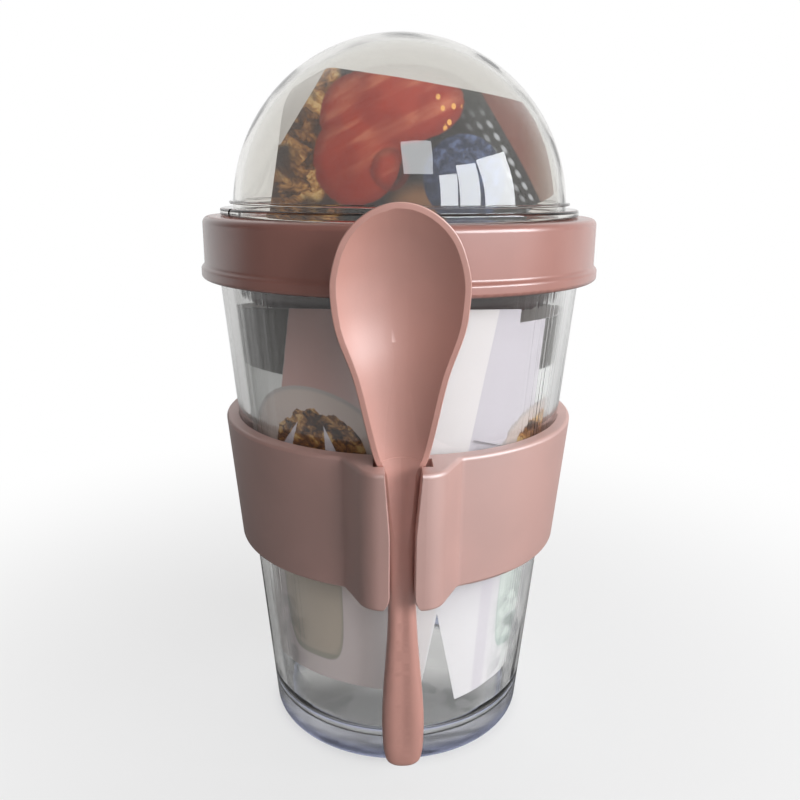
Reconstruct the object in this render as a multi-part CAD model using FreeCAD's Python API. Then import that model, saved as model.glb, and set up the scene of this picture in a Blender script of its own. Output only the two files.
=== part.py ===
"""Yogurt to-go cup: clear tumbler, pink lid ring, clear dome, sleeve with a spoon, two printed cards.

Millimetres. +Z up, the front with the spoon faces -Y, and the origin is the centre of the cup's base.
"""
import FreeCAD, Part
import math
import os

V = FreeCAD.Vector
UP = V(0, 0, 1)

# ---------------------------------------------------------------- driving dimensions

# Clear tumbler, a thick-walled cone with a flat base.
CUP_BASE_RADIUS = 35.0
CUP_TAPER = 0.0896        # radius gained per millimetre of height
CUP_HEIGHT = 135.3
CUP_WALL = 2.8
CUP_FLOOR = 5.0
CUP_BASE_ROUND = 2.2
CUP_INNER_ROUND = 7.0
CUP_RIM_ROUND = 0.9

# Lid ring: a skirt over the cup's rim, a seat for the dome and a shallow well inside the cup.
LID_HEIGHT = 14.85
LID_CLEARANCE = 0.3       # skirt to cup rim
LID_SKIRT_WALL = 2.1
LID_PLATE = 2.0
LID_SEAL_GAP = 0.1        # top plate to cup rim
LID_SHOULDER_ROUND = 1.6
LID_EDGE_ROUND = 0.4
LID_STEP_ROUND = 0.6
LID_BEAD_OUT = 0.8
LID_BEAD_HEIGHT = 2.6
LID_BEAD_ROUND = 0.9
LID_SEAT_CLEARANCE = 0.7  # seat wall to the inside of the cup rim
LID_WALL = 1.3
LID_WELL_STEP = 2.7       # the well is this much narrower than the seat
LID_WELL_FLOOR = 1.6
LID_WELL_BOTTOM = 20.2    # from the top plate down to the underside of the well
LID_WELL_ROUND = 3.2

# Clear dome that drops into the seat.
DOME_CLEARANCE = 0.35
DOME_WALL = 1.7
DOME_RISE = 1.1           # centre of the dome's sphere above the lid ring
DOME_SPIGOT = 4.6
DOME_FLANGE_OUT = 3.15
DOME_FLANGE_HEIGHT = 2.0
DOME_FLANGE_ROUND = 0.7
DOME_LIP_OUT = 0.9
DOME_LIP_HEIGHT = 0.7
DOME_LIP_GAP = 0.9
DOME_LIP_ROUND = 0.3
DOME_NOTCH_WIDTH = 1.3
DOME_NOTCH_DEPTH = 1.0
DOME_NOTCH_ANGLE = 62.0   # degrees from the front, towards -X

# Soft sleeve round the cup, with two lobes that hold the spoon.
SLEEVE_BELOW_LID = 35.6   # from the lid ring's skirt down to the sleeve
SLEEVE_HEIGHT = 33.65
SLEEVE_FIT = 0.1
SLEEVE_WALL = 3.15
SLEEVE_EDGE_ROUND = 0.9
LOBE_BASE_HALF = 13.4     # half the width of the two lobes at the sleeve
LOBE_FRONT_HALF = 8.3     # half the width of their front
LOBE_LIP = 5.4            # thickness in front of the spoon
LOBE_CORNER_ROUND = 6.0
LOBE_VALLEY_ROUND = 2.0
LOBE_SLANT = 1.0          # the front falls back by this much towards the outer corners
SLOT_FLARE = 1.4          # the slot's extra half width at its top
SLOT_FLARE_HEIGHT = 15.0
SLOT_FOOT_ROUND = 5.0
SLOT_FOOT_DROP = 1.2      # the foot's rounding would end this far below the sleeve
SLOT_BEND_ROUND = 25.0
SLOT_BEVEL = 0.6
SLOT_GRIP = 0.5           # how far each lobe's edge reaches over the handle's waist
POCKET_BACK_WALL = 1.9
POCKET_CLEARANCE = 0.35
POCKET_BEND_ROUND = 8.0
CUTTER_OVER = 2.0         # how far a cutter runs past the sleeve

# Spoon: its waist sits at the sleeve's foot and its neck just over the sleeve's top.
SPOON_BOTTOM = 3.95       # height of the handle's end above the table
SPOON_TILT = 0.9          # degrees its tip leans towards -X
SPOON_TILT_OVER = 11.0    # it leans about a point this far over the sleeve's bottom
SPOON_THICK = 4.8
SPOON_RIM = 1.5
SPOON_SHELL = 1.4
BOWL_LENGTH = 54.9        # neck to tip
BOWL_HALF = 13.9
BOWL_DEPTH = 5.6
BOWL_WIDEST = 16.8        # back from the tip
BOWL_FLANK_IN = 0.1       # how far the outline draws in halfway to the neck
BOWL_SHOULDER = (5.5, 0.975)     # before the widest place, share of the width there
BOWL_TIP_PLACES = (0.45, 0.75)   # shares of the way to the tip where it follows an ellipse
BOWL_GAP = 0.5            # bowl to the bead of the lid ring
BOWL_RIM_ROUND = 0.2
BOWL_TAIL = [(9.0, 3.2), (5.0, 1.9)]     # (below the neck, narrower than the neck)
NECK_HALF = 5.9
NECK_OVER_SLEEVE = 1.6
NECK_AXIS_OUT = 5.2       # the bowl's turning axis stands this far off the neck's rim
WAIST_HALF = 3.3
WAIST_UNDER_SLEEVE = 1.4
SWELL_HALF = 5.15
SWELL_AT = 12.0           # from the handle's end
GROOVE_DEPTH = 0.45
CHANNEL_FOOT = 2.0        # the bowl's channel runs down to this far over the sleeve's bottom
CHANNEL_FOOT_RADIUS = 2.8
CHANNEL_INSIDE = 0.06     # it ends this far inside the bowl's hollow
HANDLE_END = [(0, 0.3), (0.6, 0.55), (1.8, 0.8), (5.0, 0.94)]   # (from the end, share of the swell)
HANDLE_END_THIN = [(0, 0.62), (0.6, 0.38), (1.8, 0.15), (5.0, 0.0)]  # (from the end, share taken off)
HANDLE_NECK = [(-8.0, 1.1), (0.0, 0.2), (6.0, 0.5)]   # (past the neck, narrower than the neck)
TONGUE_BACK = 12.0        # the handle runs out under the bowl this far before its widest place
TONGUE_HALF = 2.0
TONGUE_OVER = 1.2         # its front there, over the hollow's floor
TONGUE_UNDER = 0.3
GROOVE_SHARE = 0.6        # share of the handle's width
SECTION_POINTS = 20       # points round a section of the handle
SECTION_POWER = 0.75      # below 1 squares the section up

# Card rolled inside the cup, and card bent inside the dome.
CARD_THICK = 0.35
CARD_GAP = 0.3
CARD_PAST_WELL = 2.6      # at the front it ends this far above the well's underside
CARD_BOTTOM = 21.4        # at the front
CARD_TILT = 0.125         # the roll's edges fall towards the back by this slope
CARD_SIDE_TILT = 0.08     # and its bottom edge rises towards -X by this one
CARD_FRONT_END = (29.2, 8.5)     # degrees from the front at the top and bottom edges
CARD_INNER_END = (-8.0, 22.7)
CARD_JOINT = 76.0         # where the inner layer leaves the outer one
CARD_INNER_PULL = 2.6     # its radius is this much smaller
CARD_INNER_DROP = 6.4     # its free corner hangs lower by this much
CARD_INNER_RISE = 3.0     # and its bottom edge ends higher at the joint
DOME_CARD_GAP = 0.45
DOME_CARD_STANDOFF = 2.6  # its middle to the wall of the well, at the floor
DOME_CARD_ENDS = (-63.8, 88.6)   # degrees from the front
DOME_CARD_OVER = (-1.2, 0.9)     # how far its ends would run past the wall of the well
DOME_CARD_LEAN = 0.29     # how fast its middle falls back
DOME_CARD_END_LEAN = (0.16, 0.03)
DOME_CARD_OUTLINE = [     # front view: (x, height over the centre of the dome's sphere, rounding)
    (-34.3, -25.0, 0), (-25.3, 32.2, 12.0), (44.0, 22.5, 0),
    (40.4, 4.9, 2.5), (29.5, 1.2, 8.0), (9.9, -25.0, 0)]


# ---------------------------------------------------------------- sizes worked out from them

def cup_outer(z):
    """Outer radius of the cup at a height."""
    return CUP_BASE_RADIUS + CUP_TAPER * z


def cup_inner(z):
    """Inner radius of the cup at a height."""
    return cup_outer(z) - CUP_WALL


RIM_RADIUS = cup_outer(CUP_HEIGHT)
LID_UNDER = CUP_HEIGHT + LID_SEAL_GAP
LID_TOP = LID_UNDER + LID_PLATE
LID_BOTTOM = LID_TOP - LID_HEIGHT
SKIRT_INNER = RIM_RADIUS + LID_CLEARANCE
LID_RADIUS = SKIRT_INNER + LID_SKIRT_WALL
BEAD_RADIUS = LID_RADIUS + LID_BEAD_OUT
SEAT_OUTER = RIM_RADIUS - CUP_WALL - LID_SEAT_CLEARANCE
SEAT_INNER = SEAT_OUTER - LID_WALL
WELL_OUTER = SEAT_OUTER - LID_WELL_STEP
WELL_INNER = WELL_OUTER - LID_WALL
WELL_BOTTOM = LID_TOP - LID_WELL_BOTTOM
WELL_FLOOR = WELL_BOTTOM + LID_WELL_FLOOR
DOME_RADIUS = SEAT_INNER - DOME_CLEARANCE
DOME_CENTRE = LID_TOP + DOME_RISE
SLEEVE_TOP = LID_BOTTOM - SLEEVE_BELOW_LID
SLEEVE_BOTTOM = SLEEVE_TOP - SLEEVE_HEIGHT
LEAN = math.atan(CUP_TAPER)
# Distances off the cup's wall at the front: pocket for the handle, its front, and the lobes' front.
POCKET_BACK = SLEEVE_FIT + POCKET_BACK_WALL
HANDLE_BACK = POCKET_BACK + POCKET_CLEARANCE
POCKET_FRONT = HANDLE_BACK + SPOON_THICK + POCKET_CLEARANCE
LOBE_FRONT = POCKET_FRONT + LOBE_LIP
# Places along the spoon, from the end of its handle.
NECK_AT = (SLEEVE_TOP + NECK_OVER_SLEEVE - SPOON_BOTTOM) / math.cos(LEAN)
WAIST_AT = (SLEEVE_BOTTOM - WAIST_UNDER_SLEEVE - SPOON_BOTTOM) / math.cos(LEAN)
WIDEST_AT = NECK_AT + BOWL_LENGTH - BOWL_WIDEST
TIP_AT = NECK_AT + BOWL_LENGTH
CARD_TOP = WELL_BOTTOM + CARD_PAST_WELL


# ---------------------------------------------------------------- drawing helpers

def upright(u, v):
    """Flat coordinates to the plane y = 0: radius and height."""
    return V(u, 0, v)


def level(z):
    """Flat coordinates to a horizontal plane."""
    return lambda u, v: V(u, v, z)


def rounded_wire(corners, to_point):
    """Closed wire through (u, v, radius) corners, each one rounded by a tangent arc."""
    runs = []
    for i, (u, v, radius) in enumerate(corners):
        here = V(u, v, 0)
        back = (V(corners[i - 1][0], corners[i - 1][1], 0) - here).normalize()
        ahead_corner = corners[(i + 1) % len(corners)]
        ahead = (V(ahead_corner[0], ahead_corner[1], 0) - here).normalize()
        if radius:
            half = back.getAngle(ahead) / 2
            reach = radius / math.tan(half)
            inward = (back + ahead).normalize() * (radius / math.sin(half) - radius)
            runs.append([here + back * reach, here + inward, here + ahead * reach])
        else:
            runs.append([here])
    edges = []
    for i, run in enumerate(runs):
        points = [to_point(p.x, p.y) for p in run]
        if len(points) == 3:
            edges.append(Part.Arc(*points).toShape())
        start = runs[(i + 1) % len(runs)][0]
        edges.append(Part.LineSegment(points[-1], to_point(start.x, start.y)).toShape())
    return Part.Wire(edges)


def turned(corners):
    """Solid of revolution about Z from (radius, height, rounding) corners."""
    return Part.Face(rounded_wire(corners, upright)).revolve(V(0, 0, 0), UP, 360)


def spline(points):
    """Open smooth curve through points."""
    curve = Part.BSplineCurve()
    curve.interpolate(points)
    return curve.toShape()


def through(stations, s):
    """Smooth value at s between (station, value) pairs in rising order, straight beyond the ends."""
    slopes = []
    for i, (here, value) in enumerate(stations):
        low = stations[max(i - 1, 0)]
        high = stations[min(i + 1, len(stations) - 1)]
        before = (value - low[1]) / (here - low[0]) if i else None
        after = (high[1] - value) / (high[0] - here) if i < len(stations) - 1 else None
        if before is None or after is None:
            slopes.append(after if before is None else before)
        elif before * after <= 0:
            slopes.append(0.0)
        else:
            slopes.append(2 * before * after / (before + after))
    if s <= stations[0][0]:
        return stations[0][1] + slopes[0] * (s - stations[0][0])
    if s >= stations[-1][0]:
        return stations[-1][1] + slopes[-1] * (s - stations[-1][0])
    for i in range(len(stations) - 1):
        (s0, v0), (s1, v1) = stations[i], stations[i + 1]
        if s <= s1:
            step = s1 - s0
            t = (s - s0) / step
            return (v0 * (1 + 2 * t) * (1 - t) ** 2 + step * slopes[i] * t * (1 - t) ** 2
                    + v1 * t * t * (3 - 2 * t) + step * slopes[i + 1] * t * t * (t - 1))


def edges_where(shape, test):
    """Edges of a shape whose middle point passes a test."""
    chosen = []
    for edge in shape.Edges:
        middle = edge.valueAt((edge.FirstParameter + edge.LastParameter) / 2)
        if test(middle):
            chosen.append(edge)
    return chosen


def save(name, shape):
    """Check one solid and write it."""
    shape = shape.removeSplitter()
    if len(shape.Solids) != 1 or not shape.isValid():
        raise RuntimeError(name + " isn't one valid solid")
    shape.Solids[0].exportStep("parts/" + name + ".step")


# ---------------------------------------------------------------- pieces

def make_cup():
    """Tumbler turned from one profile."""
    return turned([
        (0, 0, 0),
        (CUP_BASE_RADIUS, 0, CUP_BASE_ROUND),
        (RIM_RADIUS, CUP_HEIGHT, CUP_RIM_ROUND),
        (RIM_RADIUS - CUP_WALL, CUP_HEIGHT, CUP_RIM_ROUND),
        (cup_inner(CUP_FLOOR), CUP_FLOOR, CUP_INNER_ROUND),
        (0, CUP_FLOOR, 0),
    ])


def make_lid_ring():
    """Ring with a beaded skirt outside, a stepped seat and a closed well inside."""
    step = (SEAT_OUTER + LID_CLEARANCE - cup_inner(0)) / CUP_TAPER
    ledge = step + LID_WALL
    bead_top = LID_BOTTOM + LID_BEAD_HEIGHT
    return turned([
        (0, WELL_BOTTOM, 0),
        (WELL_OUTER, WELL_BOTTOM, LID_WELL_ROUND),
        (WELL_OUTER, step, LID_STEP_ROUND),
        (SEAT_OUTER, step, LID_STEP_ROUND),
        (SEAT_OUTER, LID_UNDER, 0),
        (SKIRT_INNER, LID_UNDER, LID_EDGE_ROUND),
        (SKIRT_INNER, LID_BOTTOM, LID_EDGE_ROUND),
        (BEAD_RADIUS, LID_BOTTOM, LID_BEAD_ROUND),
        (BEAD_RADIUS, bead_top, LID_BEAD_ROUND),
        (LID_RADIUS, bead_top + LID_BEAD_OUT, LID_BEAD_ROUND),
        (LID_RADIUS, LID_TOP, LID_SHOULDER_ROUND),
        (SEAT_INNER, LID_TOP, LID_EDGE_ROUND),
        (SEAT_INNER, ledge, LID_EDGE_ROUND),
        (WELL_INNER, ledge, LID_EDGE_ROUND),
        (WELL_INNER, WELL_FLOOR, LID_WELL_ROUND - LID_WALL),
        (0, WELL_FLOOR, 0),
    ])


def make_dome():
    """Half ball on a short spigot, with a resting flange and a thin lip above it."""
    centre = V(0, 0, DOME_CENTRE)
    foot = LID_TOP - DOME_SPIGOT
    inner_radius = DOME_RADIUS - DOME_WALL
    flange_top = LID_TOP + DOME_FLANGE_HEIGHT
    lip_bottom = flange_top + DOME_LIP_GAP
    body = Part.makeSphere(DOME_RADIUS, centre, UP, 0, 90, 360)
    body = body.fuse(Part.makeCylinder(DOME_RADIUS, DOME_CENTRE - foot, V(0, 0, foot)))
    flange = turned([
        (DOME_RADIUS - DOME_WALL / 2, LID_TOP, 0),
        (DOME_RADIUS + DOME_FLANGE_OUT, LID_TOP, DOME_FLANGE_ROUND),
        (DOME_RADIUS + DOME_FLANGE_OUT, flange_top, DOME_FLANGE_ROUND),
        (DOME_RADIUS - DOME_WALL / 2, flange_top, 0),
    ])
    notch = Part.makeBox(2 * DOME_NOTCH_DEPTH, DOME_NOTCH_WIDTH, 2 * DOME_FLANGE_HEIGHT,
                         V(DOME_RADIUS + DOME_FLANGE_OUT - DOME_NOTCH_DEPTH,
                           -DOME_NOTCH_WIDTH / 2, LID_TOP - DOME_FLANGE_HEIGHT / 2))
    notch.rotate(V(0, 0, 0), UP, -90 - DOME_NOTCH_ANGLE)
    lip = turned([
        (DOME_RADIUS - DOME_WALL / 2, lip_bottom, 0),
        (DOME_RADIUS + DOME_LIP_OUT, lip_bottom, DOME_LIP_ROUND),
        (DOME_RADIUS + DOME_LIP_OUT, lip_bottom + DOME_LIP_HEIGHT, DOME_LIP_ROUND),
        (DOME_RADIUS - DOME_WALL / 2, lip_bottom + DOME_LIP_HEIGHT, 0),
    ])
    hollow = Part.makeSphere(inner_radius, centre, UP, 0, 90, 360)
    bore = Part.makeCylinder(inner_radius, DOME_CENTRE - foot + 1, V(0, 0, foot - 1))
    return body.fuse([flange.cut(notch), lip]).cut(hollow.fuse(bore))


def lobe_outline(z):
    """Plan outline of the two lobes at a height, before the slot is cut."""
    wall = cup_outer(z)
    front = -(wall + LOBE_FRONT)
    sleeve_edge = -math.sqrt((wall + SLEEVE_FIT + SLEEVE_WALL) ** 2 - LOBE_BASE_HALF ** 2)
    flank_run = LOBE_BASE_HALF - LOBE_FRONT_HALF
    flank_rise = sleeve_edge - (front + LOBE_SLANT)
    inward = SLEEVE_WALL / 2
    root = (LOBE_BASE_HALF + flank_run * inward / flank_rise, sleeve_edge + inward)
    half = [(LOBE_FRONT_HALF, front + LOBE_SLANT, LOBE_CORNER_ROUND),
            (root[0], root[1], 0)]
    left = [(-u, v, radius) for u, v, radius in reversed(half)]
    return rounded_wire(left + [(0, front, 2 * LOBE_CORNER_ROUND)] + half, level(z))


def leaning_prism(outlines, near, far):
    """Solid between two distances off the cup's wall: outlines give (x, height, rounding) corners."""
    wires = []
    for outline, offset in zip(outlines, (near, far)):
        wires.append(rounded_wire(outline, lambda u, v: V(u, -(cup_outer(v) + offset), v)))
    return Part.makeLoft(wires, True, True)


def slot_outline(widening):
    """Front view of the slot between the lobes, with the lobes' rounded feet."""
    half = WAIST_HALF - SLOT_GRIP + widening
    outer = WAIST_HALF - SLOT_GRIP + SLOT_FOOT_ROUND + CUTTER_OVER
    foot = SLEEVE_BOTTOM - SLOT_FOOT_DROP + widening
    right = [(outer, foot - CUTTER_OVER, 0), (outer, foot, 0), (half, foot, SLOT_FOOT_ROUND - widening),
             (half, SLEEVE_TOP - SLOT_FLARE_HEIGHT, SLOT_BEND_ROUND - widening),
             (half + SLOT_FLARE, SLEEVE_TOP + CUTTER_OVER, 0)]
    return right + [(-x, z, radius) for x, z, radius in reversed(right)]


def pocket_outline():
    """Front view of the pocket behind the slot, wider at the top for the spoon's neck."""
    right = [(SWELL_HALF + POCKET_CLEARANCE, SLEEVE_BOTTOM - CUTTER_OVER, 0),
             (SWELL_HALF + POCKET_CLEARANCE, SLEEVE_TOP - SLOT_FLARE_HEIGHT, POCKET_BEND_ROUND),
             (NECK_HALF + 2 * POCKET_CLEARANCE, SLEEVE_TOP + CUTTER_OVER, 0)]
    return right + [(-x, z, radius) for x, z, radius in reversed(right)]


def make_sleeve():
    """Conical band with two thick lobes; a pocket behind a slot holds the spoon's handle."""
    bottom_wall = cup_outer(SLEEVE_BOTTOM) + SLEEVE_FIT
    top_wall = cup_outer(SLEEVE_TOP) + SLEEVE_FIT
    band = Part.makeCone(bottom_wall + SLEEVE_WALL, top_wall + SLEEVE_WALL, SLEEVE_HEIGHT,
                         V(0, 0, SLEEVE_BOTTOM))
    lobes = Part.makeLoft([lobe_outline(SLEEVE_BOTTOM), lobe_outline(SLEEVE_TOP)], True, True)
    body = band.fuse(lobes).removeSplitter()
    valleys = edges_where(body, lambda p: SLEEVE_BOTTOM + 1 < p.z < SLEEVE_TOP - 1
                          and p.y < 0 and abs(abs(p.x) - LOBE_BASE_HALF) < 0.5)
    body = body.makeFillet(LOBE_VALLEY_ROUND, valleys)
    bore = Part.makeCone(cup_outer(SLEEVE_BOTTOM - 1) + SLEEVE_FIT, cup_outer(SLEEVE_TOP + 1) + SLEEVE_FIT,
                         SLEEVE_HEIGHT + 2, V(0, 0, SLEEVE_BOTTOM - 1))
    body = body.cut(bore)
    rims = edges_where(body, lambda p: (abs(p.z - SLEEVE_TOP) < 0.01 or abs(p.z - SLEEVE_BOTTOM) < 0.01)
                       and math.hypot(p.x, p.y) > cup_outer(p.z) + SLEEVE_WALL / 2)
    body = body.makeFillet(SLEEVE_EDGE_ROUND, rims)
    pocket = leaning_prism([pocket_outline()] * 2, POCKET_BACK, POCKET_FRONT)
    slot = leaning_prism([slot_outline(0.0)] * 2, HANDLE_BACK, LOBE_FRONT + SLOT_BEVEL)
    mouth = leaning_prism([slot_outline(0.0), slot_outline(2 * SLOT_BEVEL)],
                          LOBE_FRONT - SLOT_BEVEL, LOBE_FRONT + SLOT_BEVEL)
    return body.cut([pocket, slot, mouth])


def place_spoon(shape):
    """Stand the spoon, drawn upright with its back at y = 0, along the cup's wall and a little tilted."""
    shape.rotate(V(0, 0, 0), V(1, 0, 0), math.degrees(LEAN))
    shape.translate(V(0, -(cup_outer(SPOON_BOTTOM) + HANDLE_BACK), SPOON_BOTTOM))
    shape.rotate(V(0, 0, SLEEVE_BOTTOM + SPOON_TILT_OVER), V(0, 1, 0), -SPOON_TILT)
    return shape


def spoon_half(s):
    """Squared half width of the spoon's outline along its length, negative beyond the tip."""
    flank = (WIDEST_AT + NECK_AT) / 2
    stations = [
        (NECK_AT, NECK_HALF),
        (flank, (BOWL_HALF + NECK_HALF) / 2 - BOWL_FLANK_IN),
        (WIDEST_AT - BOWL_SHOULDER[0], BOWL_HALF * BOWL_SHOULDER[1]),
        (WIDEST_AT, BOWL_HALF),
    ]
    stations += [(WIDEST_AT + place * BOWL_WIDEST, BOWL_HALF * math.sqrt(1 - place ** 2))
                 for place in BOWL_TIP_PLACES]
    stations.append((TIP_AT, 0))
    return through([(at, half * half) for at, half in stations], s)


def bowl_depth_line():
    """Rim height over the handle's back where the bowl is widest, so that the bowl clears the lid ring."""
    bead = LID_BOTTOM + LID_BEAD_HEIGHT / 2
    wall = cup_outer(bead) + HANDLE_BACK
    back = BEAD_RADIUS + BOWL_GAP - wall
    return back + SPOON_SHELL + BOWL_DEPTH


def rim_height(s):
    """Height of the bowl's rim over the handle's back: a parabola that levels out at the tip."""
    start = (SLEEVE_TOP - SPOON_BOTTOM) / math.cos(LEAN)
    share = 1 - ((TIP_AT - WIDEST_AT) / (TIP_AT - start)) ** 2
    rise = (bowl_depth_line() - SPOON_THICK) / share
    return SPOON_THICK + rise * (1 - ((TIP_AT - s) / (TIP_AT - start)) ** 2)


def turned_bowl(points, axis_foot, axis):
    """Spindle turned about the bowl's tilted axis, through (s, height, squared half width) rim points."""
    side = V(1, 0, 0)
    profile = []
    for s, height, square in points:
        arm = V(0, -height, s) - axis_foot
        along = arm.dot(axis)
        off = (arm - axis * along).Length
        profile.append(axis_foot + axis * along + side * math.sqrt(off * off + square))
    curve = spline(profile)
    ends = [axis_foot + axis * (p - axis_foot).dot(axis) for p in (profile[0], profile[-1])]
    outline = Part.Wire([Part.LineSegment(ends[0], profile[0]).toShape(), curve,
                         Part.LineSegment(profile[-1], ends[1]).toShape(),
                         Part.LineSegment(ends[1], ends[0]).toShape()])
    return Part.Face(outline).revolve(axis_foot, axis, 360)


def handle_section(s):
    """Closed rounded section of the handle, with a shallow groove in its front."""
    root = WIDEST_AT - TONGUE_BACK
    under_bowl = rim_height(root) - BOWL_DEPTH
    half = through([(at, share * SWELL_HALF) for at, share in HANDLE_END]
                   + [(SWELL_AT, SWELL_HALF), (WAIST_AT, WAIST_HALF)]
                   + [(NECK_AT + past, NECK_HALF - narrower) for past, narrower in HANDLE_NECK]
                   + [(root, TONGUE_HALF)], s)
    round_end = through(HANDLE_END_THIN, min(s, HANDLE_END_THIN[-1][0])) * SPOON_THICK / 2
    front = through([(0, SPOON_THICK), (NECK_AT - HANDLE_NECK[2][0], SPOON_THICK),
                     (root, under_bowl + TONGUE_OVER)], s)
    back = through([(0, 0), (NECK_AT, 0), (root, under_bowl - TONGUE_UNDER)], s)
    groove = through([(0, 0), (SWELL_AT, GROOVE_DEPTH), (NECK_AT, GROOVE_DEPTH),
                      (NECK_AT + HANDLE_NECK[2][0], 0)], s)
    thick = (front - back) / 2 - round_end
    points = []
    for i in range(SECTION_POINTS):
        angle = 2 * math.pi * i / SECTION_POINTS
        across, deep = math.cos(angle), math.sin(angle)
        x = half * math.copysign(abs(across) ** SECTION_POWER, across)
        y = (front + back) / 2 + thick * math.copysign(abs(deep) ** SECTION_POWER, deep)
        if deep > 0:
            y -= groove * max(0.0, 1 - (x / (GROOVE_SHARE * half)) ** 2) ** 2
        points.append(V(x, -y, s))
    curve = Part.BSplineCurve()
    curve.interpolate(points, PeriodicFlag=True)
    return Part.Wire(curve.toShape())


def make_spoon():
    """Bowl turned about a tilted axis in front of it, on a lofted handle."""
    neck_axis = rim_height(NECK_AT) + NECK_AXIS_OUT
    bowl_rim = rim_height(WIDEST_AT)
    inner_half = BOWL_HALF - SPOON_RIM
    bowl_axis = bowl_rim + (inner_half ** 2 - BOWL_DEPTH ** 2) / (2 * BOWL_DEPTH)
    foot = V(0, -neck_axis, NECK_AT)
    axis = (V(0, -bowl_axis, WIDEST_AT) - foot).normalize()

    def stations(first, last, count):
        return [first + (last - first) * i / (count - 1) for i in range(count)]

    outer_points = [(s, rim_height(s), spoon_half(s)) for s in stations(NECK_AT, TIP_AT + 2, 14)]
    tail = [(NECK_AT - below, rim_height(NECK_AT - below), (NECK_HALF - narrower) ** 2)
            for below, narrower in BOWL_TAIL]
    shell = turned_bowl(tail + outer_points, foot, axis)

    inner_points = []
    reach = (BOWL_WIDEST - SPOON_RIM) / BOWL_WIDEST
    for s, height, square in outer_points:
        if s > WIDEST_AT:
            at = WIDEST_AT + (s - WIDEST_AT) * reach
            inner_points.append((at, rim_height(at), square * (inner_half / BOWL_HALF) ** 2))
        else:
            half = math.sqrt(square) - SPOON_RIM
            inner_points.append((s, height, half * abs(half)))
    hollow = turned_bowl(inner_points, foot, axis)

    # The hollow runs on down the handle's front as a channel that narrows to a point.
    channel_foot = (SLEEVE_BOTTOM + CHANNEL_FOOT - SPOON_BOTTOM) / math.cos(LEAN)
    channel_low = V(0, -(SPOON_THICK + CHANNEL_FOOT_RADIUS), channel_foot)
    along = foot - channel_low
    neck_radius = math.hypot(NECK_AXIS_OUT, NECK_HALF - SPOON_RIM) - CHANNEL_INSIDE
    channel = Part.makeCone(CHANNEL_FOOT_RADIUS, neck_radius, along.Length, channel_low, along)

    rim_curve = [V(-2 * BOWL_HALF, -rim_height(s), s) for s in stations(tail[0][0] - 4, TIP_AT + 6, 9)]
    above = [V(-2 * BOWL_HALF, -4 * TIP_AT, p.z) for p in (rim_curve[-1], rim_curve[0])]
    corner = [Part.LineSegment(rim_curve[-1], above[0]).toShape(),
              Part.LineSegment(above[0], above[1]).toShape(),
              Part.LineSegment(above[1], rim_curve[0]).toShape()]
    front = Part.Face(Part.Wire([spline(rim_curve)] + corner)).extrude(V(4 * BOWL_HALF, 0, 0))
    bowl = shell.cut(front).cut(hollow)
    rims = edges_where(bowl, lambda p: p.z > TIP_AT - BOWL_WIDEST and abs(p.x) < 1)
    bowl = bowl.makeFillet(BOWL_RIM_ROUND, rims)

    places = [0, 0.6, 1.8, 3.2, 5, 8, SWELL_AT]
    places += stations(SWELL_AT, WAIST_AT, 4)[1:] + stations(WAIST_AT, NECK_AT - 6, 4)[1:]
    places += [NECK_AT + 4, WIDEST_AT - 24, WIDEST_AT - 12]
    handle = Part.makeLoft([handle_section(s) for s in places], True, False)
    spoon = bowl.fuse(handle).cut([hollow, channel])
    return place_spoon(spoon)


def half_space(point, normal, size):
    """Large block on the normal's side of a plane."""
    block = Part.makeBox(size, size, size, V(-size / 2, -size / 2, 0))
    block.Placement = FreeCAD.Placement(point, FreeCAD.Rotation(UP, normal))
    return block


def around(angle, radius, z):
    """Point at an angle in degrees from the front, counted towards +X."""
    turn = math.radians(angle)
    return V(radius * math.sin(turn), -radius * math.cos(turn), z)


def card_layer(first, last, pull):
    """Conical sheet between two angles; pull makes it smaller, still touching the rest at its last angle."""
    low, high = 0.0, CUP_HEIGHT
    corners = [(cup_inner(low) - CARD_GAP - pull, low), (cup_inner(high) - CARD_GAP - pull, high)]
    profile = [V(0, -r, z) for r, z in corners] + [V(0, -(r - CARD_THICK), z) for r, z in reversed(corners)]
    sheet = Part.Face(Part.makePolygon(profile + profile[:1]))
    sheet.rotate(V(0, 0, 0), UP, first)
    sheet = sheet.revolve(V(0, 0, 0), UP, last - first)
    sheet.translate(around(CARD_JOINT, pull, 0))
    return sheet


def end_cut(angles, side):
    """Block that trims a sheet along a straight cut between a top and a bottom angle."""
    radius = cup_inner(CARD_TOP) - CARD_GAP
    top = around(angles[0], radius, CARD_TOP)
    bottom = around(angles[1], cup_inner(CARD_BOTTOM) - CARD_GAP, CARD_BOTTOM)
    outward = around(sum(angles) / 2, 1, 0)
    normal = (top - bottom).cross(outward).normalize() * side
    return half_space(bottom, normal, 4 * radius).common(
        half_space(around(sum(angles) / 2, radius / 2, 0), outward, 4 * radius))


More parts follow.
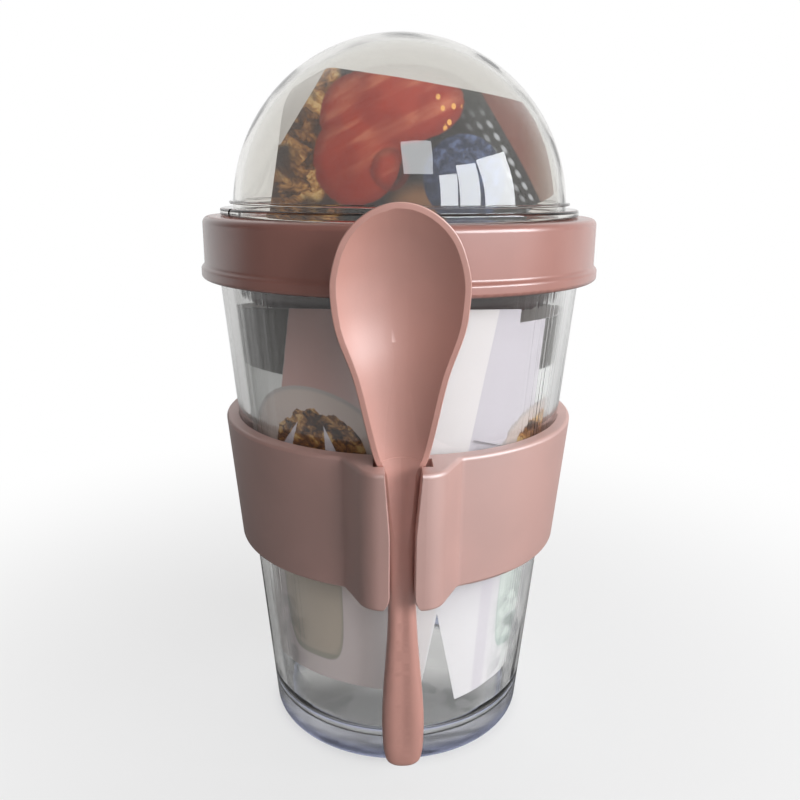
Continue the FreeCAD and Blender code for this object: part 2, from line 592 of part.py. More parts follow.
def make_cup_card():
    """Card rolled into the cup: its front end laps over its inner end and leaves a wedge open below."""
    outer = card_layer(CARD_JOINT - 360, CARD_FRONT_END[0] + 8, 0).cut(end_cut(CARD_FRONT_END, 1))
    inner = card_layer(CARD_INNER_END[0] - 8, CARD_JOINT, CARD_INNER_PULL).cut(end_cut(CARD_INNER_END, -1))
    slope = V(0, CARD_TILT, 1).normalize()
    front = cup_inner(CARD_BOTTOM)
    floor_cut = half_space(V(0, -front, CARD_BOTTOM), -V(CARD_SIDE_TILT, CARD_TILT, 1), 8 * front)
    ceiling = half_space(V(0, -cup_inner(CARD_TOP), CARD_TOP), slope, 8 * front)
    outer = outer.cut([floor_cut, ceiling])
    # The inner layer stays under the well, and its bottom edge falls towards its free corner.
    corner = around(CARD_INNER_END[1], cup_inner(CARD_BOTTOM), CARD_BOTTOM - CARD_INNER_DROP)
    joint = around(CARD_JOINT, cup_inner(CARD_BOTTOM), 0)
    joint.z = CARD_BOTTOM - CARD_TILT * (joint.y + front) + CARD_INNER_RISE
    across = around((CARD_INNER_END[1] + CARD_JOINT) / 2, 1, 0)
    down = (joint - corner).cross(across).normalize()
    down = down * (-1 if down.z > 0 else 1)
    joint_top = CARD_TOP - CARD_TILT * (joint.y + cup_inner(CARD_TOP))
    lid_cut = half_space(V(0, 0, min(joint_top, WELL_BOTTOM - CARD_GAP)), UP, 4 * front)
    inner = inner.cut([half_space(corner, down, 4 * front), lid_cut])
    return outer.fuse(inner)


def make_dome_card():
    """Bent strip of card that stands in the well and leans back against the dome."""
    def sheet_wire(z, radius_off):
        rise = z - WELL_FLOOR
        left, right = [around(angle, WELL_INNER + over + radius_off, z) + V(0, lean * rise, 0)
                       for angle, over, lean in zip(DOME_CARD_ENDS, DOME_CARD_OVER, DOME_CARD_END_LEAN)]
        middle = V(0, -(WELL_INNER - DOME_CARD_STANDOFF + radius_off) + DOME_CARD_LEAN * rise, z)
        return Part.Arc(left, middle, right).toShape()

    sections = []
    for z in (WELL_FLOOR, DOME_CENTRE + DOME_RADIUS):
        outer, inner = sheet_wire(z, 0.0), sheet_wire(z, -CARD_THICK)
        ends = [Part.LineSegment(outer.valueAt(getattr(outer, end)), inner.valueAt(getattr(inner, end))).toShape()
                for end in ("FirstParameter", "LastParameter")]
        sections.append(Part.Wire([outer, ends[1], inner, ends[0]]))
    sheet = Part.makeLoft(sections, True, True)
    # Room for it: the dome above, the well below.
    room = Part.makeSphere(DOME_RADIUS - DOME_WALL - DOME_CARD_GAP, V(0, 0, DOME_CENTRE))
    reach = WELL_INNER - DOME_CARD_GAP
    well = turned([(0, WELL_FLOOR, 0), (reach, WELL_FLOOR, LID_WELL_ROUND - LID_WALL), (reach, DOME_CENTRE, 0),
                   (0, DOME_CENTRE, 0)])
    corners = [(x, DOME_CENTRE + rise, radius) for x, rise, radius in DOME_CARD_OUTLINE]
    outline = Part.Face(rounded_wire(corners, lambda u, v: V(u, -DOME_RADIUS, v)))
    return sheet.common(room.fuse(well)).common(outline.extrude(V(0, 2 * DOME_RADIUS, 0)))


def main():
    """Make every piece and write it."""
    os.makedirs("parts", exist_ok=True)
    save("cup", make_cup())
    save("lid_ring", make_lid_ring())
    save("dome", make_dome())
    save("sleeve", make_sleeve())
    save("spoon", make_spoon())
    save("cup_card", make_cup_card())
    save("dome_card", make_dome_card())


main()
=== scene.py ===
"""Yogurt pot to go: clear tumbler, pink lid ring, clear dome, printed cards, soft sleeve and spoon.

Metres, +Z up, the spoon's side faces -Y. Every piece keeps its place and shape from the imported
frame, and patterns are drawn in millimetres.
"""
import math

import bmesh
import bpy
from mathutils import Matrix, Vector

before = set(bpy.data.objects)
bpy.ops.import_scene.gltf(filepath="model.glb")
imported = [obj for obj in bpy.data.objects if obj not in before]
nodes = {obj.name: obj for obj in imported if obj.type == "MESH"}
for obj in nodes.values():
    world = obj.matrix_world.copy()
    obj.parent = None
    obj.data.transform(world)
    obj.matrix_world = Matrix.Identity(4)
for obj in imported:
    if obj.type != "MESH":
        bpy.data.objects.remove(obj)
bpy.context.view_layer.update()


# ---------------------------------------------------------------- clear tumbler
# A thick-walled cone moulded in clear plastic, with a flat base and a rounded rim. Flow lines run
# down its wall, low on its sides it is wavy, the edge of its thick base looks blue, and its
# underside is lightly frosted. The other pieces are pushed on or dropped in.

MILLIMETRES = 1000.0
FACES_OUT = 8.0   # an outward normal times the distance from the axis, in mm, is more than this
CLEAR_BODY = (0.80, 0.80, 0.795)
CLEAR_SWIRL_PAINTED_SHADE = (0.20, 0.215, 0.22)
CLEAR_SIDE_PAINTED_SHADE = (0.56, 0.56, 0.55)
BLUE_EDGE = (0.42, 0.47, 0.74)
FLOW_DEPTH = 0.0012
UNDERSIDE_FROST = 0.25


class Value:
    """A shader socket that takes part in sums: each operator adds one Math node."""

    def __init__(self, home, socket):
        self.home = home
        self.socket = socket

    def maths(self, operation, *terms):
        return self.home.node("Math", {"operation": operation}, *terms)

    def __add__(self, other):
        return self.maths("ADD", self, other)

    def __radd__(self, other):
        return self.maths("ADD", other, self)

    def __sub__(self, other):
        return self.maths("SUBTRACT", self, other)

    def __rsub__(self, other):
        return self.maths("SUBTRACT", other, self)

    def __mul__(self, other):
        return self.maths("MULTIPLY", self, other)

    def __rmul__(self, other):
        return self.maths("MULTIPLY", other, self)

    def __truediv__(self, other):
        return self.maths("DIVIDE", self, other)

    def __pow__(self, other):
        return self.maths("POWER", self, other)

    def __gt__(self, other):
        return self.maths("GREATER_THAN", self, other)

    def __abs__(self):
        return self.maths("ABSOLUTE", self)

    def root(self):
        return self.maths("SQRT", self)

    def least(self, other):
        return self.maths("MINIMUM", self, other)

    def most(self, other):
        return self.maths("MAXIMUM", self, other)

    def ramp(self, start, end):
        """0 at start rising smoothly to 1 at end, whichever of the two is larger."""
        ends = (0.0, 1.0) if start < end else (1.0, 0.0)
        return self.home.node("MapRange", {"interpolation_type": "SMOOTHSTEP"},
                              self, min(start, end), max(start, end), *ends)


class Nodes:
    """The nodes of a material or of the surround."""

    def __init__(self, tree):
        self.tree = tree

    def feed(self, socket, term):
        """Links a Value to a socket, or sets the socket to a number or a colour."""
        if isinstance(term, Value):
            self.tree.links.new(term.socket, socket)
        elif socket.type == "RGBA":
            socket.default_value = (*term, 1.0)
        else:
            socket.default_value = term

    def node(self, kind, settings, *terms, out=0, **named):
        """Adds one node: its settings come first, then the values or links of its sockets."""
        made = self.tree.nodes.new("ShaderNode" + kind)
        for key, setting in settings.items():
            if key == "stops":
                while len(made.color_ramp.elements) < len(setting):
                    made.color_ramp.elements.new(0.5)
                for stop, (place, colour) in zip(made.color_ramp.elements, setting):
                    stop.position = place
                    stop.color = (*colour, 1.0)
            else:
                setattr(made, key, setting)
        for key, term in list(enumerate(terms)) + list(named.items()):
            self.feed(made.inputs[key], term)
        return Value(self, made.outputs[out])

    def outputs(self, value, *names):
        """Outputs, by name or number, of the node that a value comes from."""
        return [Value(self, value.socket.node.outputs[name]) for name in names]

    def split(self, vector):
        return self.outputs(self.node("SeparateXYZ", {}, vector), 0, 1, 2)

    def place(self):
        """Object coordinates in millimetres: x, y and z."""
        return [along * MILLIMETRES for along in self.split(self.node("TexCoord", {}, out="Object"))]

    def bearing(self, x, y):
        """Degrees round the cup from the front, counted towards +X."""
        return self.node("Math", {"operation": "ARCTAN2"}, x, 0.0 - y) * math.degrees(1.0)

    def point(self, x, y, z):
        return self.node("CombineXYZ", {}, x, y, z)

    def normal(self):
        return self.split(self.node("NewGeometry", {}, out="Normal"))

    def outward(self, x, y):
        """1 where the surface looks away from the cup's axis."""
        nx, ny, _ = self.normal()
        return (nx * x + ny * y) > FACES_OUT

    def noise(self, where, scale, detail=2.0, roughness=0.5):
        return self.node("TexNoise", {}, where, Scale=scale, Detail=detail, Roughness=roughness)

    def mix(self, share, first, second):
        """Second colour over the first, by a share between 0 and 1."""
        made = self.node("Mix", {"data_type": "RGBA"}, share, out=2).socket.node
        self.feed(made.inputs[6], first)
        self.feed(made.inputs[7], second)
        return Value(self, made.outputs[2])

    def bump(self, height, distance, strength):
        return self.node("Bump", {}, Strength=strength, Distance=distance, Height=height)

    def blend(self, share, first, second):
        """Second shader over the first, by a share between 0 and 1."""
        return self.node("MixShader", {}, share, first, second)


class Finish(Nodes):
    """A material, and its Principled shader's sockets by name."""

    def __init__(self, name):
        self.material = bpy.data.materials.new(name)
        self.material.use_nodes = True
        super().__init__(self.material.node_tree)
        self.shader = self.tree.nodes["Principled BSDF"]

    def set(self, **sockets):
        """Sockets of the Principled shader, with underscores for the spaces in their names."""
        for name, term in sockets.items():
            self.feed(self.shader.inputs[name.replace("_", " ")], term)

    def cover(self, share, other):
        """Lays another shader over the Principled one, by a share."""
        own = Value(self, self.shader.outputs[0])
        self.feed(self.tree.nodes["Material Output"].inputs["Surface"], self.blend(share, own, other))

    def wear(self, node):
        """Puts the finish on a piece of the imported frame."""
        nodes[node].data.materials.clear()
        nodes[node].data.materials.append(self.material)


def clear_finish(name, index, shade):
    """Clear plastic: refracts what the eye sees and lets the lamps' light straight through."""
    finish = Finish(name)
    finish.set(Roughness=0.0, IOR=index, Transmission_Weight=1.0)
    through = finish.node("BsdfTransparent", {}, (shade, shade, shade))
    finish.cover(finish.node("LightPath", {}, out="Is Shadow Ray"), through)
    return finish


tumbler = clear_finish("clear_tumbler", 1.57, 0.88)
x, y, z = tumbler.place()
angle = tumbler.bearing(x, y)
side = abs(angle)
from_axis = (x * x + y * y).root()
# The inner floor is smooth; the wall, the base's edge and the underside are not quite.
underside = z.ramp(1.0, 0.4)
uneven = z.ramp(6.0, 9.0).most(from_axis.ramp(31.0, 34.0)).most(underside)
flow = tumbler.noise(tumbler.point(angle, z * 0.006, 0.0), 0.55)
strands = side.ramp(22.0, 34.0) * side.ramp(62.0, 44.0) * z.ramp(30.0, 70.0)
waves = tumbler.noise(tumbler.point(x, y, z * 0.25), 0.09, 1.0) * z.ramp(58.0, 22.0)
relief = flow * uneven * (strands * 0.2 + 0.03) + waves * uneven
# Painted dark swirls low on both sides of the front stand in for dark refractions and shade.
painted_swirl_shade = tumbler.noise(tumbler.point(x * 0.55, y * 0.55, z * 0.5), 0.3, 0.6).ramp(0.48, 0.58)
painted_swirl_shade = painted_swirl_shade * side.ramp(36.0, 52.0) * side.ramp(74.0, 58.0) * z.ramp(54.0, 40.0) * uneven
# A strip on the left is painted dimmer, as shade.
painted_side_shade = angle.ramp(-46.0, -62.0) * angle.ramp(-140.0, -110.0)
body = tumbler.mix(painted_swirl_shade * 0.55, CLEAR_BODY, CLEAR_SWIRL_PAINTED_SHADE)
body = tumbler.mix(painted_side_shade, body, CLEAR_SIDE_PAINTED_SHADE)
edge = z.ramp(6.0, 2.5) * from_axis.ramp(29.0, 34.0)
tumbler.set(Base_Color=tumbler.mix(edge, body, BLUE_EDGE), Roughness=underside * UNDERSIDE_FROST,
            Normal=tumbler.bump(relief, FLOW_DEPTH, 0.4))
tumbler.wear("cup")


# ---------------------------------------------------------------- lid ring
# Dusty pink moulded plastic with a satin skin. It is pushed over the cup's rim, the bead round its
# bottom gives the fingers a hold, and its closed well hangs down into the cup; the well's outer side
# is painted near black as shade.

RING_PINK = (0.40, 0.175, 0.14)
WELL_SHADE = (0.035, 0.014, 0.012)
SHADE_STARTS = 123.0   # the last half millimetre of the skirt
SHADE_FULL = 122.4     # below this only the well is left


def pink_finish(name, colour, roughness, grain, seed, shade=None):
    """Moulded pink plastic: slightly uneven colour and gloss, and a skin with a fine grain.

    With a shade given, what faces outwards below the ring's skirt takes that colour as painted shade,
    and no coat.
    """
    finish = Finish(name)
    x, y, z = finish.place()
    where = finish.point(x + seed, y, z)
    cloud = finish.noise(where, 0.05, 3.0)
    speckle = finish.noise(where, 1.6)
    darker = tuple(part * 0.92 for part in colour)
    if shade:
        painted_well_shade = z.ramp(SHADE_STARTS, SHADE_FULL) * finish.outward(x, y)
        colour = finish.mix(painted_well_shade, colour, shade)
        darker = finish.mix(painted_well_shade, darker, shade)
        finish.set(Coat_Weight=1.0 - painted_well_shade)
    else:
        finish.set(Coat_Weight=1.0)
    finish.set(Base_Color=finish.mix(cloud.ramp(0.35, 0.65), darker, colour),
               Roughness=roughness + (cloud - 0.5) * 0.1 + (speckle - 0.5) * 0.05,
               Normal=finish.bump(speckle, grain, 0.5))
    return finish


ring = pink_finish("ring_plastic", RING_PINK, 0.45, 0.00002, 11.0, WELL_SHADE)
ring.set(Specular_IOR_Level=0.7, Coat_IOR=1.7, Coat_Roughness=0.25)
ring.wear("lid_ring")


# ---------------------------------------------------------------- dome
# Thin clear plastic formed into half a ball, with a flange and a lip round its foot. It drops
# into the ring's seat, and its wall is very slightly uneven, as formed sheet is.

DOME_TINT = (0.85, 0.84, 0.81)
DOME_UNEVEN = 0.0006

dome = clear_finish("clear_dome", 1.7, 0.92)
x, y, z = dome.place()
dome.set(Base_Color=DOME_TINT,
         Normal=dome.bump(dome.noise(dome.point(x, y, z), 0.06, 1.0), DOME_UNEVEN, 0.25))
dome.wear("dome")


# ---------------------------------------------------------------- sleeve
# Soft-touch plastic band with a milky, broad gloss, held on the cup's cone by friction. Its two
# lobes stand either side of a slot and clasp the spoon's handle.

SLEEVE_PINK = (0.55, 0.25, 0.195)

sleeve = pink_finish("sleeve_plastic", SLEEVE_PINK, 0.55, 0.00003, 37.0)
sleeve.set(IOR=1.8, Specular_IOR_Level=1.0, Coat_IOR=3.0, Coat_Roughness=0.6)
sleeve.wear("sleeve")


# ---------------------------------------------------------------- spoon
# One moulding in a paler pink than the ring, with a hollow bowl and a channel down its handle.
# It slides into the sleeve's pocket from above.

SPOON_PINK = (0.62, 0.285, 0.225)

spoon = pink_finish("spoon_plastic", SPOON_PINK, 0.45, 0.00002, 71.0)
spoon.set(Specular_IOR_Level=1.0, Coat_IOR=2.2, Coat_Roughness=0.45)
spoon.wear("spoon")


# ---------------------------------------------------------------- card rolled in the cup
# Coated card, printed on its outer side and bare inside, rolled and let spring open against the
# wall. The print is plain fields of colour: a dark band along the top, a pale panel at the front,
# bowls of oat clusters, and jars.

BARE_CARD = (0.82, 0.80, 0.79)
CARD_GLOW = (0.75, 0.72, 0.70)
CARD_WHITE = (0.76, 0.76, 0.74)
CARD_BOTTOM = 21.4       # at the front
FRONT_END = 8.5          # bearing of the card's front end at its bottom, in degrees
FRONT_END_LEAN = 0.21    # degrees that it moves for each millimetre of height
BAND_BOTTOM = 103.3
BAND_DARK = (0.03, 0.024, 0.018)
BAND_GREY = (0.075, 0.07, 0.062)
PANEL_ROSY_SHADE = (0.54, 0.33, 0.30)
PANEL_LEFT_SHADE = (0.66, 0.565, 0.555)
PANEL_RIGHT = (0.78, 0.73, 0.725)
LILAC_HIGH = (0.62, 0.575, 0.615)
LILAC_LOW = (0.82, 0.79, 0.80)
STRIPE = (0.62, 0.56, 0.63)
BOWL_CHINA = (0.60, 0.50, 0.455)
BOWL_LINE = (0.40, 0.39, 0.38)
WISP_WHITE = (0.66, 0.60, 0.64)
WISP_TOP = 92.4
TOP_SHADE = (0.06, 0.045, 0.04)
FLAKES = [
    (0.15, (0.035, 0.012, 0.004)),
    (0.42, (0.19, 0.07, 0.016)),
    (0.62, (0.40, 0.19, 0.05)),
    (0.85, (0.62, 0.40, 0.16)),
]


def card_finish(name):
    """Thin coated card with a silky skin."""
    finish = Finish(name)
    finish.set(Roughness=0.5, Specular_IOR_Level=0.25)
    return finish


def let_through(finish, share):
    """Some of the light that falls on one side of the card comes through to the other."""
    finish.cover(share, finish.node("BsdfTranslucent", {}, CARD_GLOW))


def ellipse(u, v, centre, half, tilt=0.0, power=2.0):
    """Distance from a centre in units of an ellipse's half axes: 1 on its edge."""
    turn = math.radians(tilt)
    du = u - centre[0]
    dv = v - centre[1]
    along = abs(du * math.cos(turn) + dv * math.sin(turn)) / half[0]
    across = abs(dv * math.cos(turn) - du * math.sin(turn)) / half[1]
    return (along ** power + across ** power) ** (1.0 / power)


def oats(finish, u, v, size):
    """Colour of baked oat clusters: lumps of golden flakes that darken towards their edges."""
    wobble = finish.noise(finish.point(u, v, 0.0), 0.8 / size, 3.0) * (size * 2.2)
    where = finish.point(u + wobble, v * 1.3 - wobble, 0.0)
    lump = finish.node("TexVoronoi", {"feature": "F1"}, where, Scale=1.0 / size)
    tone = finish.node("TexWhiteNoise", {"noise_dimensions": "3D"}, *finish.outputs(lump, "Position"))
    crumb = finish.noise(where, 2.6 / size, 4.0, 0.7)
    return finish.node("ValToRGB", {"stops": FLAKES}, tone * 0.5 + crumb * 1.7 - lump * 0.8 - 0.25)


roll = card_finish("cup_print")
x, y, z = roll.place()
bearing = roll.bearing(x, y)

# Past the card's front end, its inner layer shows: lilac, paler low down. Before it, the panel is
# pale, with painted shade that darkens its left and turns it rosy high on the left. Its left edge
# slants, and stands further out low down.
past_front_end = (bearing - FRONT_END - (z - CARD_BOTTOM) * FRONT_END_LEAN) > 0.0
inner_layer = roll.mix(z.ramp(62.0, 36.0), LILAC_HIGH, LILAC_LOW)
outer_layer = roll.mix(bearing.ramp(-16.0, 0.0), PANEL_LEFT_SHADE, PANEL_RIGHT)
outer_layer = roll.mix(bearing.ramp(0.0, -28.0) * z.ramp(50.0, 72.0), outer_layer, PANEL_ROSY_SHADE)
panel_left = z.ramp(96.0, 78.0) * -16.0 - 39.8 + (z - BAND_BOTTOM) * 0.333
panel = (bearing - panel_left).ramp(-0.3, 0.3) * bearing.ramp(50.6, 50.0)
colour = roll.mix(panel, CARD_WHITE, roll.mix(past_front_end, outer_layer, inner_layer))

# The band outside the panel, darkest beside the panel's left edge, and a lilac stripe low down.
band = z.ramp(BAND_BOTTOM - 0.4, BAND_BOTTOM) * (1.0 - panel)
colour = roll.mix(band, colour, roll.mix(abs(bearing + 12.0).ramp(20.0, 32.0), BAND_DARK, BAND_GREY))
stripe = bearing.ramp(33.0, 35.0) * bearing.ramp(41.0, 38.5) * z.ramp(60.0, 50.0)
colour = roll.mix(stripe * 0.5, colour, STRIPE)

# Two bowls, seen above the sleeve: a grey line inside the rim, and a heap of oat clusters.
for bowl_centre, bowl_half, heap_centre, heap_half in (
        ((-31.0, 82.0), (28.5, 19.2), (-28.5, 84.0), (18.0, 12.0)),
        ((56.5, 76.5), (25.0, 18.6), (57.0, 80.0), (16.5, 12.0))):
    bowl = ellipse(bearing, z, bowl_centre, bowl_half)
    colour = roll.mix(bowl.ramp(1.01, 0.985), colour, BOWL_CHINA)
    colour = roll.mix(bowl.ramp(0.93, 0.98) * bowl.ramp(1.01, 0.99) * 0.7, colour, BOWL_LINE)
    lumps = roll.noise(roll.point(bearing, z * 0.3, 0.0), 0.22, 3.0) * 6.0 - 3.0
    heap = ellipse(bearing, z + lumps, heap_centre, heap_half)
    colour = roll.mix(heap.ramp(1.0, 0.97), colour, oats(roll, bearing * 0.75, z, 3.2))

# Two pale wisps over the left heap, pointed at the top: bearing of the tip, and how far it leans.
for tip, lean in ((-35.2, 0.85), (-25.6, -0.35)):
    drop = WISP_TOP - z
    half_width = drop * 0.32
    off_middle = abs(bearing - tip + drop * lean)
    wisp = (half_width - off_middle).ramp(-0.1, 0.2) * z.ramp(WISP_TOP + 0.2, WISP_TOP - 0.2)
    colour = roll.mix(wisp * z.ramp(70.0, 74.0), colour, WISP_WHITE)

# Two jars, seen below the sleeve: a line of glass round each, and ribs on the left one's side.
for jar_centre, jar_half, inside, glass in (
        ((-36.5, 54.0), (14.2, 26.0), (0.50, 0.42, 0.34), (0.30, 0.30, 0.25)),
        ((53.5, 54.0), (9.5, 27.0), (0.72, 0.77, 0.72), (0.46, 0.56, 0.50))):
    jar = ellipse(bearing, z, jar_centre, jar_half, power=5.0)
    foot = (z - 28.0 + (bearing - jar_centre[0]) ** 2.0 * -0.004).ramp(2.0, 1.2)
    colour = roll.mix(jar.ramp(1.01, 0.985), colour, roll.mix(foot * 0.5, inside, glass))
    colour = roll.mix(jar.ramp(0.90, 1.0) * jar.ramp(1.02, 1.0) * 0.55, colour, glass)
    ribs = roll.noise(roll.point(bearing, 0.0, 0.0), 0.9).ramp(0.5, 0.62)
    colour = roll.mix(ribs * jar.ramp(1.0, 0.99) * bearing.ramp(-38.0, -44.0) * 0.6, colour, glass)

# Close under the lid ring the card's left is painted darker, as the ring's shadow. Only the side away
# from the cup's axis is printed, and where it is plain the card lets more light through.
colour = roll.mix(z.ramp(100.0, 117.0) * bearing.ramp(0.0, -20.0) * 0.3, colour, TOP_SHADE)
roll.set(Base_Color=roll.mix(roll.outward(x, y), BARE_CARD, colour))
plain = abs(bearing).ramp(70.0, 90.0)
let_through(roll, plain * 0.35 + 0.08)
roll.wear("cup_card")


# ---------------------------------------------------------------- card bent in the dome
# The same coated card, bent against the dome's wall and stood in the ring's well: fields of
# strawberry red, berry blue and oat brown on black, with a bare margin at the left.

BLACK = (0.016, 0.014, 0.014)
GAP_BROWN = (0.035, 0.015, 0.01)
CLOTH_GREY = (0.035, 0.035, 0.033)
CLOTH_DOT = (0.55, 0.56, 0.59)
DOT_SPACING = 2.9
ROSY_DARK = (0.13, 0.045, 0.032)
ROSY_PALE = (0.17, 0.11, 0.085)
CRUST = (0.16, 0.075, 0.035)
BERRY_SKIN = (0.014, 0.018, 0.04)
BERRY_BLOOM = (0.09, 0.115, 0.21)
BERRY_SHADE = (0.012, 0.014, 0.03)
FLESH_RED = (0.30, 0.026, 0.010)
FLESH_PALE = (0.46, 0.14, 0.075)
FLESH_DEEP = (0.20, 0.012, 0.006)
FLESH_LOW_SHADE = (0.20, 0.012, 0.005)
FRUIT_EDGE_SHADE = (0.15, 0.010, 0.005)
KNOB_SHADE = (0.10, 0.008, 0.005)
SEED = (0.66, 0.34, 0.09)
MARGIN = (0.60, 0.57, 0.54)

leaf = card_finish("dome_print")
x, y, z = leaf.place()
where = leaf.point(x, z, 0.0)
cluster_gaps = leaf.noise(where, 0.11).ramp(0.5, 0.66)
left_field = leaf.mix(cluster_gaps, oats(leaf, x, z, 5.0), GAP_BROWN)
colour = leaf.mix(x.ramp(-12.0, -15.0), BLACK, left_field)

# Right: a grey cloth that carries slanting rows of pale dots, and a rosy field past it.
slant = x + (z - 141.0) * 0.68
colour = leaf.mix(slant.ramp(24.0, 30.0) * z.ramp(144.0, 166.0), colour, CLOTH_GREY)
rosy = leaf.mix(x.ramp(26.0, 36.0), ROSY_DARK, ROSY_PALE)
colour = leaf.mix(slant.ramp(33.2, 33.8), colour, rosy)
along_row = leaf.node("Math", {"operation": "FRACT"}, (z - 0.15 * x) / DOT_SPACING)
for row, strength in ((31.0, 0.55), (28.4, 0.32), (25.8, 0.15)):
    dot = ellipse(slant - row, along_row, (0.0, 0.5), (0.8, 0.42))
    colour = leaf.mix(dot.ramp(1.1, 0.3) * z.ramp(163.0, 156.0) * strength, colour, CLOTH_DOT)

# Brown crust at the foot, and a round blue berry with its bloom, painted darker low on its left as
# shade.
colour = leaf.mix(ellipse(x, z, (3.5, 140.0), (7.0, 5.5)).ramp(1.2, 0.4), colour, CRUST)
berry = ellipse(x, z, (13.8, 146.3), (9.4, 9.6))
bloom = leaf.noise(where, 0.55, 4.0, 0.7).ramp(0.42, 0.68)
berry_skin = leaf.mix(bloom, BERRY_SKIN, BERRY_BLOOM)
berry_shade = ellipse(x, z, (10.0, 141.0), (10.0, 9.0)).ramp(1.2, 0.5) * 0.7
berry_skin = leaf.mix(berry_shade, berry_skin, BERRY_SHADE)
colour = leaf.mix(berry.ramp(1.01, 0.97), colour, berry_skin)

# Cut strawberries: pale streaks along the flesh, painted shade towards the edges and low down, and a
# painted shade round a knob low down.
streak = leaf.noise(leaf.point((x * 0.88 + z * 0.47) * 0.16, z * 0.88 - x * 0.47, 0.0), 0.3, 3.0)
flesh = leaf.mix(streak.ramp(0.46, 0.66) * 0.85, FLESH_RED, FLESH_PALE)
flesh = leaf.mix(leaf.noise(where, 0.1).ramp(0.4, 0.65) * 0.6, flesh, FLESH_DEEP)
flesh = leaf.mix(z.ramp(154.0, 144.0) * 0.6, flesh, FLESH_LOW_SHADE)
wander = leaf.noise(where, 0.35, 3.0) * 1.6 - 0.8
fruit = ellipse(x + wander, z + wander, (-1.3, 161.6), (14.9, 8.3), 4.0)
for centre, half, tilt in (((-9.9, 150.8), (9.7, 10.6), -14.0), ((-9.6, 159.4), (8.6, 9.0), 0.0)):
    fruit = fruit.least(ellipse(x + wander, z + wander, centre, half, tilt))
flesh = leaf.mix(fruit.ramp(0.72, 1.0) * 0.75, flesh, FRUIT_EDGE_SHADE)
colour = leaf.mix(fruit.ramp(1.02, 0.96), colour, flesh)
knob = ellipse(x + wander, z, (-2.8, 148.2), (4.3, 4.8))
colour = leaf.mix(knob.ramp(1.02, 0.9) * knob.ramp(0.4, 0.9) * 0.7, colour, KNOB_SHADE)

# Seeds on the skin near the tip, and the margin, which the print leaves bare.
seed = leaf.node("TexVoronoi", {"feature": "F1"}, leaf.point(x, z * 0.8, 0.0), Scale=0.4)
near_tip = ellipse(x, z, (11.0, 160.0), (6.0, 6.0)).ramp(1.0, 0.8) * fruit.ramp(1.0, 0.94)
colour = leaf.mix(seed.ramp(0.24, 0.17) * near_tip, colour, SEED)
margin = (x + 21.2 - (z - 162.5) * 0.7).ramp(0.1, -0.15) * z.ramp(153.4, 153.8)
colour = leaf.mix(margin, colour, MARGIN)
faces_back = leaf.normal()[1] > 0.0
leaf.set(Base_Color=leaf.mix(faces_back, colour, BARE_CARD))
let_through(leaf, 0.04)
leaf.wear("dome_card")


# ---------------------------------------------------------------- floor, light and camera
# A pale floor that fades into a white surround. A tall window of three panes stands to the front
# right, a smaller one higher up, and a weak light behind. Gloss sees a dim room and floor in
# front and the white only behind, and a weak warm light fills in all round.

WHITE = (1.0, 1.0, 1.0)
FILL = (0.080, 0.058, 0.049)
DIM_ROOM = (0.06, 0.06, 0.06)
WHITE_BEHIND = (0.9, 0.9, 0.9)
FLOOR_GREY = (0.55, 0.55, 0.55)
FLOOR_IN_FRONT = (0.10, 0.10, 0.10)
FLOOR_BEHIND = (0.8, 0.8, 0.8)
FLOOR_RADIUS = 6.0
FLOOR_GAP = 0.0002

disc = bmesh.new()
bmesh.ops.create_circle(disc, cap_ends=True, segments=96, radius=FLOOR_RADIUS)
floor_data = bpy.data.meshes.new("floor")
disc.to_mesh(floor_data)
disc.free()
floor = bpy.data.objects.new("floor", floor_data)
bpy.context.scene.collection.objects.link(floor)
floor.location.z = -FLOOR_GAP


def rays(surface):
    """Whether the eye sees a point straight on or through something clear, and whether in a gloss."""
    kinds = surface.outputs(surface.node("LightPath", {}), "Is Camera Ray", "Is Transmission Ray",
                            "Is Glossy Ray")
    return kinds[0].most(kinds[1]), kinds[2]


pale = Finish("pale_floor")
pale.set(Base_Color=FLOOR_GREY, Roughness=0.8)
x, y, z = pale.place()
off = (x * x + y * y).root()
seen, gloss = rays(pale)
mirrored = (1.0 - seen) * gloss
# The share of plain white in the floor: little under the cup's front, all of it under the back, where
# the white is painted light, and more with distance.
painted_light_under_back = off.ramp(34.0, 30.0) * y.ramp(-12.0, 8.0)
share = off.ramp(26.0, 38.0) * 0.6 + off.ramp(55.0, 260.0) * 0.3 + painted_light_under_back + 0.1
in_gloss = pale.mix(y.ramp(0.0, 500.0), FLOOR_IN_FRONT, FLOOR_BEHIND)
glow = pale.node("Emission", {}, pale.mix(mirrored, WHITE, in_gloss), 1.0)
pale.cover((seen * share).most(mirrored), glow)
floor_data.materials.append(pale.material)

world = bpy.data.worlds.new("surround")
bpy.context.scene.world = world
world.use_nodes = True
around = Nodes(world.node_tree)
seen, gloss = rays(around)
behind = around.split(around.node("TexCoord", {}, out="Generated"))[1].ramp(0.15, 0.9)
unseen = around.mix(gloss, FILL, around.mix(behind, DIM_ROOM, WHITE_BEHIND))
around.feed(world.node_tree.nodes["Background"].inputs["Color"], around.mix(seen, unseen, WHITE))

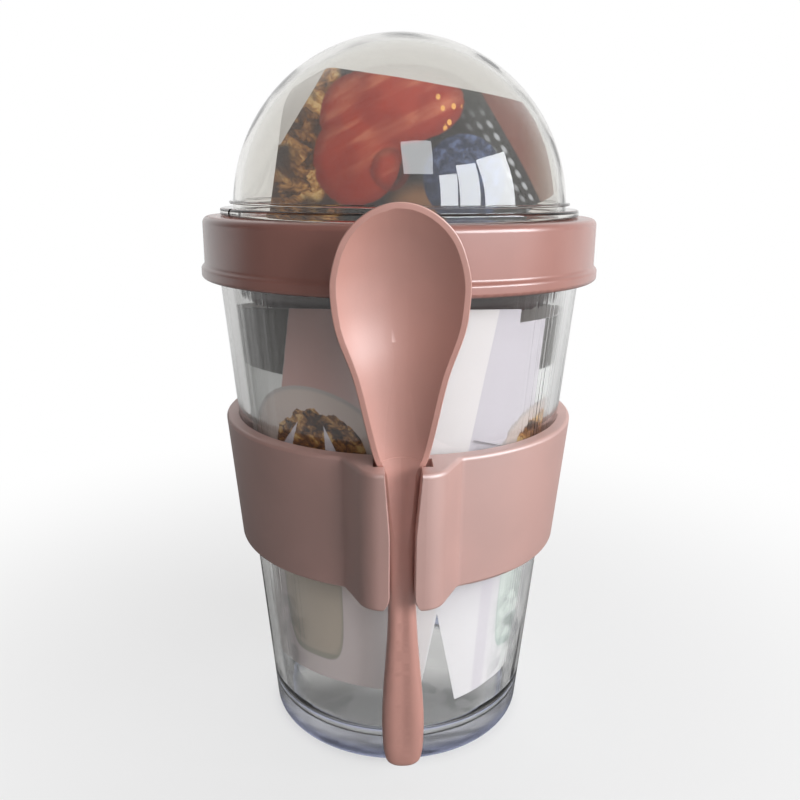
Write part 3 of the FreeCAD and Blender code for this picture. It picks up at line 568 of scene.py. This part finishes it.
LAMP_TINT = (0.97, 1.0, 1.03)
LAMP_CENTRE = Vector((0.0, 0.0, 0.12))   # all lamps stand a metre from here and face it


def pane(name, heading, height, width, tall, radiance, glassy=True):
    """Flat lamp a metre off the pot: heading from the front towards +X, height above the horizon."""
    lamp = bpy.data.lights.new(name, "AREA")
    lamp.shape = "RECTANGLE"
    lamp.size = width
    lamp.size_y = tall
    lamp.energy = radiance * math.pi * width * tall
    lamp.color = LAMP_TINT
    spot = bpy.data.objects.new(name, lamp)
    bpy.context.scene.collection.objects.link(spot)
    turn = math.radians(heading)
    lift = math.radians(height)
    out = Vector((math.sin(turn) * math.cos(lift), -math.cos(turn) * math.cos(lift), math.sin(lift)))
    spot.location = LAMP_CENTRE + out
    spot.rotation_euler = out.to_track_quat("Z", "Y").to_euler()
    spot.visible_glossy = glassy
    spot.visible_transmission = False
    spot.visible_camera = False


pane("near_pane", 30.7, 13.5, 0.20, 0.37, 9.0)
pane("middle_pane", 44.7, 16.5, 0.24, 0.44, 9.0)
pane("far_pane", 66.5, 17.5, 0.41, 0.48, 9.0)
pane("upper_pane", 11.0, 35.0, 0.31, 0.35, 5.0)
pane("back_light", 165.0, 35.0, 0.9, 0.5, 3.6, glassy=False)

CAMERA_PLACE = (0.0, -0.2114, 0.1455)
CAMERA_HEADING = math.radians(-1.26)   # round the pot's axis
CAMERA_DOWN = 0.2652                   # below the horizon
CAMERA_PAN = -0.0022
CAMERA_ROLL = 0.0073

camera = bpy.data.objects.new("camera", bpy.data.cameras.new("camera"))
bpy.context.scene.collection.objects.link(camera)
camera.data.sensor_width = 36.0
camera.data.lens = 36.0
camera.data.clip_start = 0.01
camera.matrix_world = (Matrix.Rotation(CAMERA_HEADING, 4, "Z")
                       @ Matrix.Translation(CAMERA_PLACE)
                       @ Matrix.Rotation(CAMERA_PAN, 4, "Z")
                       @ Matrix.Rotation(math.pi / 2 - CAMERA_DOWN, 4, "X")
                       @ Matrix.Rotation(CAMERA_ROLL, 4, "Z"))
bpy.context.scene.camera = camera
bpy.context.scene.view_settings.view_transform = "Standard"
